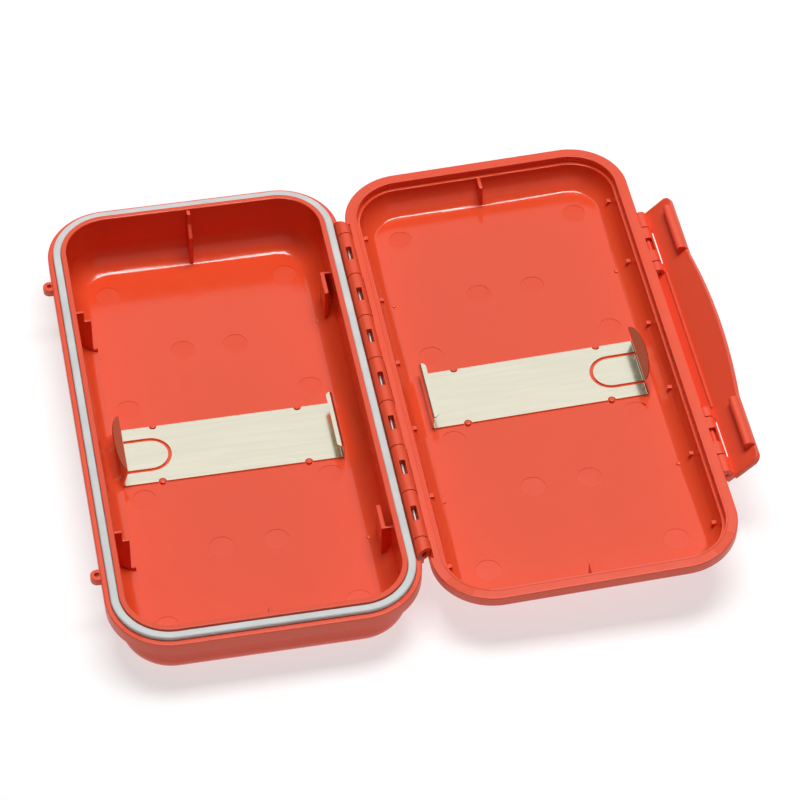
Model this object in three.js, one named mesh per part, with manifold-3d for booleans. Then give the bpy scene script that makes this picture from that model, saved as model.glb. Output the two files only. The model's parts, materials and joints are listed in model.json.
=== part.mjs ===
// Waterproof hard case for a first aid kit: a deep base tray and a shallow lid joined along one long side by a
// knuckled hinge on a steel rod, a silicone gasket in the base rim, a wide latch flap carried by two pins on the
// lid's far edge, and a stainless spring strip on the floor of each tray. It lies open and empty.
//
// Millimetres. +X runs from the base towards the lid, +Y along the hinge, +Z up. The base stands on Z = 0, and the
// origin is under the middle of the open case.

import * as THREE from "three";
import { mergeVertices } from "three/addons/utils/BufferGeometryUtils.js";
import Module from "manifold-3d";

const wasm = await Module();
wasm.setup();

// ---------------------------------------------------------------- driving dimensions

const WALL = 2; // moulded wall and floor
const CORNER_STEPS = 8; // straight steps round each plan corner
const ARC_STEPS = 6; // straight steps round the curve between a floor and a wall
const FIT_GAP = 0.35; // clearance of moulded parts that turn past each other
const END_GAP = 0.15; // half of the gap between two neighbouring knuckles
const WALL_ROOT = 0.8; // how far ribs and webs run into a wall
const FLOOR_ROOT = 0.5; // how far ribs and pegs run into a floor

const BASE = {
  width: 105.6,
  length: 200,
  corner: 21.9,
  rimHeight: 22.36, // top of the outer lip above the table
  flangeHeight: 5.2,
  wallInset: 4.5, // outer wall face, in from the flange edge
  bottomRadius: 8,
  outerLip: 1.9,
  grooveDepth: 3.1,
  innerLipFrom: 4.75,
  innerLipTo: 6.7,
  innerLipRise: 2.35, // inner lip above the outer lip
  coveRadius: 9.5,
  floorInset: 13.9, // crease where the cove meets the floor
  lipEdge: 0.3, // rounding of the inner lip's edges
};

const GASKET = { inset: 3.32, width: 2.75, height: 4.7, edgeRadius: 0.7, edgeSteps: 3 };

const LID = {
  width: 104.7,
  length: 199.7,
  corner: 21.2,
  depth: 12.18, // rim plane to the inside floor
  flangeHeight: 4,
  wallInset: 3.35,
  bottomRadius: 11.4,
  rimWidth: 4.2,
  rebateDepth: 2.8,
  innerInset: 5.35,
  rebateShift: 0.1, // the rebate sits a little towards the latch
  coveRadius: 9.5,
  floorInset: 11.15,
};

const HINGE = {
  x: 54.08, // from the middle of the base
  radius: 2.75,
  rodRadius: 0.8,
  boreRadius: 0.9,
  pitch: 20.4, // knuckle length
  halfLength: 78.4,
  windowLength: 6.2,
  windowWidth: 2,
  openAngle: 177.61, // degrees from closed
  toLidCentre: 53.97,
  toLidRim: 0.68, // the lid's rim plane below the axis when open
  webDepth: 4.4, // knuckle webs below the axis
  webInset: 1.2, // and into the tray's flange
  slot: { from: 1.95, to: 1.2, depth: 1.4 }, // slot between gasket and barrel, as insets of the base rim
  endSlant: 3, // how much shorter the barrel's ends are on the lid's side
};

const LATCH = {
  x: 53.3, // pin axis from the middle of the lid
  drop: 2.3, // pin axis below the rim plane
  radius: 2.3,
  pinRadius: 0.85,
  boreRadius: 0.95,
  tilt: 43.5, // degrees that the flap stands above the rim plane
  lidKnuckle: [37.5, 54.7],
  innerKnuckle: [32.8, 37.5],
  outerKnuckle: [54.7, 62.6],
  window: [42.8, 49.1],
  windowWidth: 2.4,
  halfLength: 63.6,
  plateTop: -1.65, // hook side of the plate, across the flap from the pin axis
  thickness: 2,
  outerEdge: 13, // along the flap from the pin axis
  innerEdge: -1.9,
  slotEdge: 2.15,
  cornerRadius: 3,
  grip: { halfLength: 34, rise: 2.5 },
  hook: { from: 36, to: 57.5, middle: 11.5, halfWidth: 1.9, height: 2.8 },
};

const STRIP = {
  halfLength: 38,
  tongueLength: 39.2,
  width: 25.3,
  basePlace: [0.45, -1.4], // from the middle of the base
  lidPlace: [-0.4, -1], // from the middle of the lid
  thickness: 0.5,
  floorGap: 0.1,
  notch: { x: 25.7, radius: 1.4 },
  slot: { width: 1.3, halfSpan: 6.9, straightTo: 28.4, roundTo: 21.4 },
  upright: 7.4,
  lean: 1.9, // how far the tongue end's upright leans in
  slotRise: 3.5,
  tab: { chord: 25, reach: 3.1, rise: 2.4, overlap: 0.3 },
  lip: { reach: 1.8, upright: 5.6, chamfer: 1 },
};

const PEG = { radius: 1.05, height: 1.1 };
const LUG = { x: 53.85, y: 66.25, radius: 2.25, hole: 0.9, drop: 0.4, height: 3.1 };

// Ribs in the middle of the end walls: reaches from the wall, depths from their top, and where they root.
const BASE_RIB = {
  thickness: 1.3,
  drop: 0.6,
  upper: 2.4,
  lower: 6.1,
  upperDepth: 4.6,
  lowerDepth: 8.6,
  root: 3.1,
};
const LID_RIB = { thickness: 1.3, reach: 5.4, depth: 2.9, root: 2.9, rootRise: 7 };
const HINGE_BRACKET = { x: [42.9, 44.4], y: [49.8, 60.3], drop: 4.5, leg: 1, foot: 3, rootZ: 8 };

// Two stepped ribs on the latch side; each step is a distance from the tray's middle and a height from the rim.
const LATCH_BRACKET = {
  y: [50.8, -50.4],
  thickness: 1,
  top: { x: 43.5, z: 1.27 },
  step: { x: 41.1, z: -3.5 },
  foot: { x: 39.5, z: -18.3 },
  rootZ: 8,
};

// ---------------------------------------------------------------- joining and cutting

function solid(geometry) {
  const bare = geometry.index ? geometry.toNonIndexed() : geometry.clone();
  bare.deleteAttribute("normal");
  bare.deleteAttribute("uv");
  const merged = mergeVertices(bare, 1e-4);
  return new wasm.Manifold(
    new wasm.Mesh({
      numProp: 3,
      vertProperties: new Float32Array(merged.attributes.position.array),
      triVerts: new Uint32Array(merged.index.array),
    }),
  );
}

function meshOf(name, body, colour, roughness, metalness = 0) {
  const made = body.getMesh();
  const geometry = new THREE.BufferGeometry();
  geometry.setAttribute("position", new THREE.BufferAttribute(made.vertProperties, 3));
  geometry.setIndex(new THREE.BufferAttribute(made.triVerts, 1));
  geometry.computeVertexNormals();
  const material = new THREE.MeshStandardMaterial({ color: colour, roughness, metalness });
  const mesh = new THREE.Mesh(geometry, material);
  mesh.name = name;
  return mesh;
}

const join = (first, ...others) => others.reduce((sum, next) => sum.add(next), first);
const cut = (first, ...others) => others.reduce((rest, next) => rest.subtract(next), first);

// ---------------------------------------------------------------- basic shapes

function block([x0, x1], [y0, y1], [z0, z1]) {
  const geometry = new THREE.BoxGeometry(x1 - x0, y1 - y0, z1 - z0);
  geometry.translate((x0 + x1) / 2, (y0 + y1) / 2, (z0 + z1) / 2);
  return solid(geometry);
}

// A round bar along Y, about the axis at (x, z).
function barY(radius, [y0, y1], x, z, sides = 20) {
  const geometry = new THREE.CylinderGeometry(radius, radius, y1 - y0, sides);
  geometry.translate(x, (y0 + y1) / 2, z);
  return solid(geometry);
}

// An upright round peg.
function peg(radius, x, y, [z0, z1], sides = 16) {
  const geometry = new THREE.CylinderGeometry(radius, radius, z1 - z0, sides);
  geometry.rotateX(Math.PI / 2);
  geometry.translate(x, y, (z0 + z1) / 2);
  return solid(geometry);
}

// A closed outline in the XZ plane, drawn out along Y.
function sectionY(points, [y0, y1]) {
  const shape = new THREE.Shape(points.map(([x, z]) => new THREE.Vector2(x, z)));
  const geometry = new THREE.ExtrudeGeometry(shape, { depth: y1 - y0, bevelEnabled: false });
  geometry.rotateX(Math.PI / 2);
  geometry.translate(0, y1, 0);
  return solid(geometry);
}

// A closed outline in the XY plane, drawn up along Z.
function sectionZ(points, [z0, z1]) {
  const shape = new THREE.Shape(points.map(([x, y]) => new THREE.Vector2(x, y)));
  const geometry = new THREE.ExtrudeGeometry(shape, { depth: z1 - z0, bevelEnabled: false });
  geometry.translate(0, 0, z0);
  return solid(geometry);
}

// A closed outline in the YZ plane, drawn out along X.
function sectionX(points, [x0, x1]) {
  const shape = new THREE.Shape(points.map(([y, z]) => new THREE.Vector2(y, z)));
  const geometry = new THREE.ExtrudeGeometry(shape, { depth: x1 - x0, bevelEnabled: false });
  geometry.rotateX(Math.PI / 2);
  geometry.rotateZ(Math.PI / 2);
  geometry.translate(x0, 0, 0);
  return solid(geometry);
}

// ---------------------------------------------------------------- tray bodies

// One level of a tray: the rim outline moved in by `inset`, at height z.
function ring(tray, { inset, z, shift = 0 }) {
  const radius = Math.max(tray.corner - inset, 0.2);
  const halfX = tray.width / 2 - inset - radius;
  const halfY = tray.length / 2 - inset - radius;
  const corners = [[1, 1], [-1, 1], [-1, -1], [1, -1]];
  return corners.flatMap(([sx, sy], quarter) =>
    Array.from({ length: CORNER_STEPS + 1 }, (_, step) => {
      const angle = ((quarter + step / CORNER_STEPS) * Math.PI) / 2;
      const x = sx * halfX + radius * Math.cos(angle) + shift;
      const y = sy * halfY + radius * Math.sin(angle);
      return new THREE.Vector3(x, y, z);
    }),
  );
}

// Skins the rings in order; with `closed` the last ring joins the first, otherwise both ends are capped.
function loft(rings, closed = false) {
  const count = rings[0].length;
  const positions = rings.flat().flatMap((point) => point.toArray());
  const faces = [];
  const last = closed ? rings.length : rings.length - 1;
  for (let level = 0; level < last; level += 1) {
    const low = level * count;
    const high = ((level + 1) % rings.length) * count;
    for (let i = 0; i < count; i += 1) {
      const next = (i + 1) % count;
      faces.push(low + i, low + next, high + next, low + i, high + next, high + i);
    }
  }
  if (!closed) {
    const top = (rings.length - 1) * count;
    for (let i = 1; i < count - 1; i += 1) {
      faces.push(0, i + 1, i, top, top + i, top + i + 1);
    }
  }
  const geometry = new THREE.BufferGeometry();
  geometry.setAttribute("position", new THREE.Float32BufferAttribute(positions, 3));
  geometry.setIndex(faces);
  return geometry;
}

// The curve from the flat bottom up to the outer wall, or to the underside of the flange if that comes first.
function bottomCurve({ wallInset, bottomRadius }, bottom, flangeBottom) {
  const rise = Math.min(1, (flangeBottom - bottom) / bottomRadius);
  const endAngle = Math.acos(1 - rise);
  return Array.from({ length: ARC_STEPS + 1 }, (_, step) => {
    const angle = (step / ARC_STEPS) * endAngle;
    return {
      inset: wallInset + bottomRadius * (1 - Math.sin(angle)),
      z: bottom + bottomRadius * (1 - Math.cos(angle)),
    };
  });
}

// The cove from the inner wall down to the crease at the floor, which it meets at an angle.
function coveCurve(wallInset, { coveRadius, floorInset }, floor) {
  const across = wallInset + coveRadius - floorInset;
  const endAngle = Math.asin(across / coveRadius);
  const centreZ = floor + coveRadius * Math.cos(endAngle);
  return Array.from({ length: ARC_STEPS + 1 }, (_, step) => {
    const angle = Math.PI / 2 + (step / ARC_STEPS) * (endAngle - Math.PI / 2);
    return {
      inset: wallInset + coveRadius * (1 - Math.sin(angle)),
      z: centreZ - coveRadius * Math.cos(angle),
    };
  });
}

function baseBody() {
  const rim = BASE.rimHeight;
  const innerRim = rim + BASE.innerLipRise;
  const flangeBottom = rim - BASE.flangeHeight;
  const profile = [
    ...bottomCurve(BASE, 0, flangeBottom),
    { inset: BASE.wallInset, z: flangeBottom },
    { inset: 0.3, z: flangeBottom },
    { inset: 0, z: flangeBottom + 0.3 },
    { inset: 0, z: rim - 0.4 },
    { inset: 0.4, z: rim },
    { inset: BASE.outerLip, z: rim },
    { inset: BASE.outerLip, z: rim - BASE.grooveDepth },
    { inset: BASE.innerLipFrom, z: rim - BASE.grooveDepth },
    { inset: BASE.innerLipFrom, z: innerRim - BASE.lipEdge },
    { inset: BASE.innerLipFrom + BASE.lipEdge, z: innerRim },
    { inset: BASE.innerLipTo - BASE.lipEdge, z: innerRim },
    { inset: BASE.innerLipTo, z: innerRim - BASE.lipEdge },
    ...coveCurve(BASE.innerLipTo, BASE, WALL),
  ];
  return solid(loft(profile.map((level) => ring(BASE, level))));
}

function lidBody() {
  const shift = LID.rebateShift;
  const profile = [
    ...bottomCurve(LID, -LID.depth - WALL, -LID.flangeHeight),
    { inset: 0.3, z: -LID.flangeHeight },
    { inset: 0, z: -LID.flangeHeight + 0.3 },
    { inset: 0, z: -0.4 },
    { inset: 0.4, z: 0 },
    { inset: LID.rimWidth, z: 0, shift },
    { inset: LID.rimWidth, z: -LID.rebateDepth, shift },
    ...coveCurve(LID.innerInset, LID, -LID.depth).map((level) => ({ ...level, shift })),
  ];
  return solid(loft(profile.map((level) => ring(LID, level))));
}

// ---------------------------------------------------------------- hinge

const hingeZ = BASE.rimHeight;
const knuckleEdge = (index) => (index + 0.5) * HINGE.pitch;

// The stretches of Y that the base's or the lid's knuckles fill.
const baseKnuckles = [
  [-HINGE.halfLength, -knuckleEdge(3)],
  [-knuckleEdge(2), -knuckleEdge(1)],
  [-knuckleEdge(0), knuckleEdge(0)],
  [knuckleEdge(1), knuckleEdge(2)],
  [knuckleEdge(3), HINGE.halfLength],
];
const lidKnuckles = [
  [-knuckleEdge(3), -knuckleEdge(2)],
  [-knuckleEdge(1), -knuckleEdge(0)],
  [knuckleEdge(0), knuckleEdge(1)],
  [knuckleEdge(2), knuckleEdge(3)],
];

const mirrored = ([from, to], side) => (side > 0 ? [from, to] : [-to, -from]);
const shorten = ([from, to], gap) => [from + gap, to - gap];
const widen = ([from, to], gap) => [from - gap, to + gap];

// The hollow that a knuckle of the other tray turns in.
const knuckleSweep = (stretch, x, z) =>
  barY(HINGE.radius + FIT_GAP, widen(stretch, END_GAP), x, z, 28);

// The opening in the top of every whole knuckle that shows the rod.
function hingeWindows(x, z, knuckles) {
  const whole = knuckles.filter(([from, to]) => to - from > HINGE.pitch / 2);
  return whole.map(([from, to]) => {
    const middle = (from + to) / 2;
    return block(
      [x - HINGE.windowWidth / 2, x + HINGE.windowWidth / 2],
      [middle - HINGE.windowLength / 2, middle + HINGE.windowLength / 2],
      [z, z + 2 * HINGE.radius],
    );
  });
}

const hingeBore = (x, z) =>
  barY(HINGE.boreRadius, [-HINGE.halfLength - 1, HINGE.halfLength + 1], x, z, 16);

// ---------------------------------------------------------------- base shell

function baseCentreRib(side) {
  const wall = BASE.length / 2 - BASE.innerLipTo;
  const rim = BASE.rimHeight + BASE.innerLipRise - BASE_RIB.drop;
  const points = [
    [wall + WALL_ROOT, rim],
    [wall - BASE_RIB.upper, rim],
    [wall - BASE_RIB.upper, rim - BASE_RIB.upperDepth],
    [wall - BASE_RIB.lower, rim - BASE_RIB.lowerDepth],
    [wall - BASE_RIB.lower, WALL - FLOOR_ROOT],
    [wall - BASE_RIB.root, WALL - FLOOR_ROOT],
    [wall + WALL_ROOT, WALL + BASE.coveRadius],
  ].map(([y, z]) => [side * y, z]);
  return sectionX(points, [-BASE_RIB.thickness / 2, BASE_RIB.thickness / 2]);
}

// A steadying rib beside the hinge wall: a plate parallel to the wall and a short leg back to it.
function hingeBracket(side) {
  const [x0, x1] = HINGE_BRACKET.x;
  const [y0, y1] = HINGE_BRACKET.y;
  const top = BASE.rimHeight - HINGE_BRACKET.drop;
  const wall = BASE.width / 2 - BASE.innerLipTo + WALL_ROOT;
  const foot = [[x0, top], [x0, HINGE_BRACKET.foot], [x1, HINGE_BRACKET.foot]];
  const plate = sectionY([...foot, [x1, top]], mirrored([y0, y1], side));
  const legOutline = [...foot, [wall, HINGE_BRACKET.rootZ], [wall, top]];
  return join(plate, sectionY(legOutline, mirrored([y1 - HINGE_BRACKET.leg, y1], side)));
}

// A stepped rib on the latch side's wall.
function latchBracket(y) {
  const wall = -BASE.width / 2 + BASE.innerLipTo - WALL_ROOT;
  const { top, step, foot, rootZ, thickness } = LATCH_BRACKET;
  const level = ({ z }) => BASE.rimHeight + z;
  const points = [
    [wall, rootZ],
    [-foot.x, WALL - FLOOR_ROOT],
    [-foot.x, level(foot)],
    [-step.x, level(foot)],
    [-step.x, level(step)],
    [-top.x, level(step)],
    [-top.x, level(top)],
    [wall, level(top)],
  ];
  return sectionY(points, [y - thickness, y]);
}

function lug(side) {
  const top = BASE.rimHeight - LUG.drop;
  const levels = [top - LUG.height, top];
  const round = peg(LUG.radius, -LUG.x, side * LUG.y, levels, 20);
  const bridge = block(
    [-LUG.x, -BASE.width / 2 + 1],
    [side * LUG.y - LUG.radius + 0.1, side * LUG.y + LUG.radius - 0.1],
    shorten(levels, 0.05),
  );
  return join(round, bridge);
}

// The moulded pegs that hold a strip, at its edge notches.
function stripPegs([x, y], floor) {
  const levels = [floor - FLOOR_ROOT, floor + PEG.height];
  return [-1, 1].flatMap((end) =>
    [-1, 1].map((edge) =>
      peg(PEG.radius, x + end * STRIP.notch.x, y + (edge * STRIP.width) / 2, levels, 12),
    ),
  );
}

// The slot between the gasket and the hinge barrel.
function hingeSlot() {
  const { from, to, depth } = HINGE.slot;
  return block(
    [BASE.width / 2 - from, BASE.width / 2 - to],
    [-HINGE.halfLength, HINGE.halfLength],
    [hingeZ - depth, hingeZ + 1],
  );
}

// What is taken off one end of the barrel to slant it.
function barrelEndCut(side) {
  const [x0, x1] = [HINGE.x - HINGE.radius, HINGE.x + HINGE.radius + 1];
  const end = HINGE.halfLength;
  const points = [[x0, end], [x1, end - HINGE.endSlant], [x1, end + 1], [x0, end + 1]];
  if (side > 0) return sectionZ(points, [hingeZ - 5, hingeZ + 4]);
  return sectionZ(points.map(([x, y]) => [x, -y]).reverse(), [hingeZ - 5, hingeZ + 4]);
}

function baseShell() {
  const cleared = cut(
    baseBody(),
    hingeSlot(),
    ...lidKnuckles.map((stretch) => knuckleSweep(stretch, HINGE.x, hingeZ)),
  );
  const web = (stretch) =>
    join(
      barY(HINGE.radius, stretch, HINGE.x, hingeZ),
      block([BASE.width / 2 - HINGE.webInset, HINGE.x], stretch, [hingeZ - HINGE.webDepth, hingeZ - 0.2]),
    );
  const knuckles = baseKnuckles.map(([from, to]) =>
    web([
      from === -HINGE.halfLength ? from : from + END_GAP,
      to === HINGE.halfLength ? to : to - END_GAP,
    ]),
  );
  const fixed = join(
    cleared,
    ...knuckles,
    ...[1, -1].flatMap((side) => [baseCentreRib(side), hingeBracket(side), lug(side)]),
    ...LATCH_BRACKET.y.map(latchBracket),
    ...stripPegs(STRIP.basePlace, WALL),
  );
  return cut(
    fixed,
    hingeBore(HINGE.x, hingeZ),
    barrelEndCut(1),
    barrelEndCut(-1),
    ...hingeWindows(HINGE.x, hingeZ, baseKnuckles),
    ...[1, -1].map((side) =>
      peg(LUG.hole, -LUG.x, side * LUG.y, [hingeZ - 6, hingeZ + 1], 12),
    ),
  );
}

// ---------------------------------------------------------------- lid shell, in its own frame

// The lid's frame has its origin in the middle of the rim plane, X away from the hinge and Z out of the tray.
const hingeInLid = { x: -HINGE.toLidCentre, z: HINGE.toLidRim };

function lidCentreRib(side) {
  const wall = LID.length / 2 - LID.innerInset;
  const points = [
    [wall + WALL_ROOT, -LID_RIB.depth],
    [wall - LID_RIB.reach, -LID_RIB.depth],
    [wall - LID_RIB.reach, -LID.depth - FLOOR_ROOT],
    [wall - LID_RIB.root, -LID.depth - FLOOR_ROOT],
    [wall + WALL_ROOT, -LID.depth + LID_RIB.rootRise],
  ].map(([y, z]) => [side * y, z]);
  return sectionX(points, [-LID_RIB.thickness / 2, LID_RIB.thickness / 2]);
}

function lidHingeKnuckle(stretch) {
  const { x, z } = hingeInLid;
  const clear = shorten(stretch, END_GAP);
  return join(
    barY(HINGE.radius, clear, x, z),
    block([x, -LID.width / 2 + HINGE.webInset], clear, [z - HINGE.webDepth, -0.1]),
  );
}

function latchStation(side) {
  const stretch = shorten(mirrored(LATCH.lidKnuckle, side), END_GAP);
  return join(
    barY(LATCH.radius, stretch, LATCH.x, -LATCH.drop),
    block([LID.width / 2 - HINGE.webInset, LATCH.x], stretch, [-LID.flangeHeight + 0.1, -0.1]),
  );
}

function lidShell() {
  const { x, z } = hingeInLid;
  const flapSweep = (stretch) =>
    barY(LATCH.radius + FIT_GAP, widen(stretch, END_GAP), LATCH.x, -LATCH.drop, 28);
  const cleared = cut(
    lidBody(),
    ...baseKnuckles.map((stretch) => knuckleSweep(stretch, x, z)),
    ...[1, -1].flatMap((side) => [
      flapSweep(mirrored(LATCH.innerKnuckle, side)),
      flapSweep(mirrored(LATCH.outerKnuckle, side)),
    ]),
  );
  const fixed = join(
    cleared,
    ...lidKnuckles.map(lidHingeKnuckle),
    ...[1, -1].flatMap((side) => [latchStation(side), lidCentreRib(side)]),
    ...stripPegs(STRIP.lidPlace, -LID.depth),
  );
  const pinBores = [1, -1].map((side) =>
    barY(LATCH.boreRadius, mirrored([30, 66], side), LATCH.x, -LATCH.drop, 16),
  );
  const pinWindows = [1, -1].map((side) =>
    block(
      [LATCH.x - LATCH.windowWidth / 2, LATCH.x + LATCH.windowWidth / 2],
      mirrored(LATCH.window, side),
      [-LATCH.drop, LATCH.radius],
    ),
  );
  return cut(fixed, hingeBore(x, z), ...hingeWindows(x, z, lidKnuckles), ...pinBores, ...pinWindows);
}

// ---------------------------------------------------------------- gasket, rod and pins

// A band with a flat top and rounded upper edges, standing in the groove of the base rim.
function gasket() {
  const { inset, width, height, edgeRadius, edgeSteps } = GASKET;
  const bottom = BASE.rimHeight - BASE.grooveDepth + 0.05;
  const [outer, inner] = [inset - width / 2, inset + width / 2];
  const edge = (centre, start) =>
    Array.from({ length: edgeSteps + 1 }, (_, step) => {
      const angle = ((start - step / edgeSteps) * Math.PI) / 2;
      return {
        inset: centre + edgeRadius * Math.cos(angle),
        z: bottom + height - edgeRadius + edgeRadius * Math.sin(angle),
      };
    });
  const profile = [
    { inset: inner, z: bottom },
    { inset: outer, z: bottom },
    ...edge(outer + edgeRadius, 2),
    ...edge(inner - edgeRadius, 1),
  ];
  return solid(loft(profile.map((level) => ring(BASE, level)), true));
}

const hingeRod = () =>
  barY(HINGE.rodRadius, [-HINGE.halfLength + 2.4, HINGE.halfLength - 2.4], 0, 0, 12);

const latchPin = (side) => barY(LATCH.pinRadius, mirrored([33.4, 62.2], side), 0, 0, 12);

// ---------------------------------------------------------------- latch flap, in its own frame

// The flap's frame has its origin on the pin axis, X along the plate to its free edge and Z out of its hook side.
function flapOutline() {
  const { halfLength, outerEdge, innerEdge, cornerRadius, grip } = LATCH;
  const gripRadius = (grip.halfLength ** 2 + grip.rise ** 2) / (2 * grip.rise);
  const gripAngle = Math.asin(grip.halfLength / gripRadius);
  const gripCentre = outerEdge + grip.rise - gripRadius;
  const shape = new THREE.Shape();
  shape.moveTo(innerEdge, -halfLength);
  shape.lineTo(outerEdge - cornerRadius, -halfLength);
  shape.absarc(outerEdge - cornerRadius, -halfLength + cornerRadius, cornerRadius, -Math.PI / 2, 0);
  shape.lineTo(outerEdge, -grip.halfLength);
  shape.absarc(gripCentre, 0, gripRadius, -gripAngle, gripAngle);
  shape.lineTo(outerEdge, halfLength - cornerRadius);
  shape.absarc(outerEdge - cornerRadius, halfLength - cornerRadius, cornerRadius, 0, Math.PI / 2);
  shape.lineTo(innerEdge, halfLength);
  return shape;
}

function hook(side) {
  const { from, to, middle, halfWidth, height } = LATCH.hook;
  const root = LATCH.plateTop - 0.5;
  const crest = Array.from({ length: ARC_STEPS + 1 }, (_, step) => {
    const angle = (step / ARC_STEPS) * Math.PI;
    return [middle - halfWidth * Math.cos(angle), LATCH.plateTop + height * Math.sin(angle)];
  });
  const points = [[middle - halfWidth, root], ...crest, [middle + halfWidth, root]];
  return sectionY(points, mirrored([from, to], side));
}

function latchFlap() {
  const geometry = new THREE.ExtrudeGeometry(flapOutline(), {
    depth: LATCH.thickness,
    bevelEnabled: false,
    curveSegments: 12,
  });
  geometry.translate(0, 0, LATCH.plateTop - LATCH.thickness);
  const flapStretches = [1, -1].flatMap((side) =>
    [LATCH.innerKnuckle, LATCH.outerKnuckle].map((stretch) => mirrored(stretch, side)),
  );
  const lidStretches = [1, -1].map((side) => mirrored(LATCH.lidKnuckle, side));
  const reliefs = lidStretches.map((stretch) =>
    block([LATCH.innerEdge - 1, LATCH.slotEdge], widen(stretch, END_GAP), [-6, 3]),
  );
  const ends = [1, -1].map((side) =>
    block([LATCH.innerEdge - 1, LATCH.slotEdge - 0.6], mirrored([62.6, 70], side), [-6, 3]),
  );
  const knuckles = flapStretches.map((stretch) => {
    const clear = shorten(stretch, END_GAP);
    return join(
      barY(LATCH.radius, clear, 0, 0),
      block([0.2, 2], clear, [LATCH.plateTop - 1, -0.8]),
    );
  });
  const bores = [1, -1].map((side) => barY(LATCH.boreRadius, mirrored([30, 66], side), 0, 0, 16));
  return cut(
    join(cut(solid(geometry), ...reliefs, ...ends), ...knuckles, hook(1), hook(-1)),
    ...bores,
  );
}

// ---------------------------------------------------------------- spring strips, in a frame on the tray floor

function stripPlate() {
  const { halfLength, tongueLength, width, thickness, notch } = STRIP;
  const shape = new THREE.Shape();
  const low = -width / 2;
  const high = width / 2;
  shape.moveTo(-tongueLength, low);
  shape.lineTo(-notch.x - notch.radius, low);
  shape.absarc(-notch.x, low, notch.radius, Math.PI, 0, true);
  shape.lineTo(notch.x - notch.radius, low);
  shape.absarc(notch.x, low, notch.radius, Math.PI, 0, true);
  shape.lineTo(halfLength, low);
  shape.lineTo(halfLength, high);
  shape.lineTo(notch.x + notch.radius, high);
  shape.absarc(notch.x, high, notch.radius, 0, Math.PI, true);
  shape.lineTo(-notch.x + notch.radius, high);
  shape.absarc(-notch.x, high, notch.radius, 0, Math.PI, true);
  shape.lineTo(-tongueLength, high);
  return new THREE.ExtrudeGeometry(shape, { depth: thickness, bevelEnabled: false, curveSegments: 6 });
}

// The U-shaped slot that frees the tongue, as a solid to cut away.
function tongueSlot() {
  const { width, halfSpan: halfY, straightTo, roundTo } = STRIP.slot;
  const outline = (offset) => {
    const shape = new THREE.Shape();
    const reachX = straightTo - roundTo + offset;
    shape.moveTo(-STRIP.tongueLength - 2, -halfY - offset);
    shape.lineTo(-straightTo, -halfY - offset);
    shape.absellipse(-straightTo, 0, reachX, halfY + offset, -Math.PI / 2, Math.PI / 2);
    shape.lineTo(-STRIP.tongueLength - 2, halfY + offset);
    const height = STRIP.slotRise + STRIP.thickness;
    const options = { depth: height + 1, bevelEnabled: false, curveSegments: 12 };
    const geometry = new THREE.ExtrudeGeometry(shape, options);
    geometry.translate(0, 0, -1);
    return solid(geometry);
  };
  return outline(width / 2).subtract(outline(-width / 2));
}

// The flared half-moon tab along the top of the tongue end's upright.
function halfMoonTab() {
  const { chord, reach, rise, overlap } = STRIP.tab;
  const slant = Math.hypot(reach, rise);
  const shape = new THREE.Shape();
  shape.moveTo(overlap, -chord / 2);
  shape.lineTo(0, -chord / 2);
  shape.absellipse(0, 0, slant, chord / 2, -Math.PI / 2, -Math.PI * 1.5, true);
  shape.lineTo(overlap, chord / 2);
  const geometry = new THREE.ExtrudeGeometry(shape, {
    depth: STRIP.thickness,
    bevelEnabled: false,
    curveSegments: 14,
  });
  geometry.translate(0, 0, -STRIP.thickness / 2);
  geometry.rotateY(Math.atan2(rise, reach));
  geometry.translate(STRIP.lean - STRIP.tongueLength + overlap, 0, STRIP.upright);
  return solid(geometry);
}

function springStrip() {
  const { halfLength, tongueLength, width, thickness, upright, lean, lip } = STRIP;
  const stretch = [-width / 2, width / 2];
  const foot = thickness / 4;
  const leaning = [
    [-tongueLength, foot],
    [-tongueLength + thickness, foot],
    [-tongueLength + thickness + lean, upright],
    [-tongueLength + lean, upright],
  ];
  const tongueEnd = sectionY(leaning, stretch);
  const farEnd = block([halfLength - thickness, halfLength], stretch, [foot, lip.upright]);
  const lipShape = new THREE.Shape();
  lipShape.moveTo(halfLength, stretch[0]);
  lipShape.lineTo(halfLength, stretch[1]);
  lipShape.lineTo(halfLength - lip.reach + lip.chamfer, stretch[1]);
  lipShape.lineTo(halfLength - lip.reach, stretch[1] - lip.chamfer);
  lipShape.lineTo(halfLength - lip.reach, stretch[0] + lip.chamfer);
  lipShape.lineTo(halfLength - lip.reach + lip.chamfer, stretch[0]);
  const lipGeometry = new THREE.ExtrudeGeometry(lipShape, { depth: thickness, bevelEnabled: false });
  lipGeometry.translate(0, 0, lip.upright - thickness);
  const plate = join(solid(stripPlate()), tongueEnd, farEnd, solid(lipGeometry));
  return join(cut(plate, tongueSlot()), halfMoonTab());
}

// ---------------------------------------------------------------- assembly

const ORANGE = 0xf0623c;
const STEEL = 0xdcd7c6;
const SILICONE = 0xc8cecd;

const firstAidCase = new THREE.Group();
const middle = new THREE.Group(); // origin in the middle of the base, on the table
firstAidCase.add(middle);

middle.add(meshOf("base_shell", baseShell(), ORANGE, 0.45));
middle.add(meshOf("gasket", gasket(), SILICONE, 0.6));

const rod = meshOf("hinge_rod", hingeRod(), STEEL, 0.3, 1);
rod.position.set(HINGE.x, 0, hingeZ);
middle.add(rod);

const baseStrip = meshOf("base_strip", springStrip(), STEEL, 0.35, 1);
baseStrip.position.set(...STRIP.basePlace, WALL + STRIP.floorGap);
middle.add(baseStrip);

// Everything on the lid turns about the hinge.
const lid = new THREE.Group();
lid.position.set(HINGE.x, 0, hingeZ);
lid.rotation.y = -THREE.MathUtils.degToRad(180 - HINGE.openAngle);
middle.add(lid);

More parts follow.
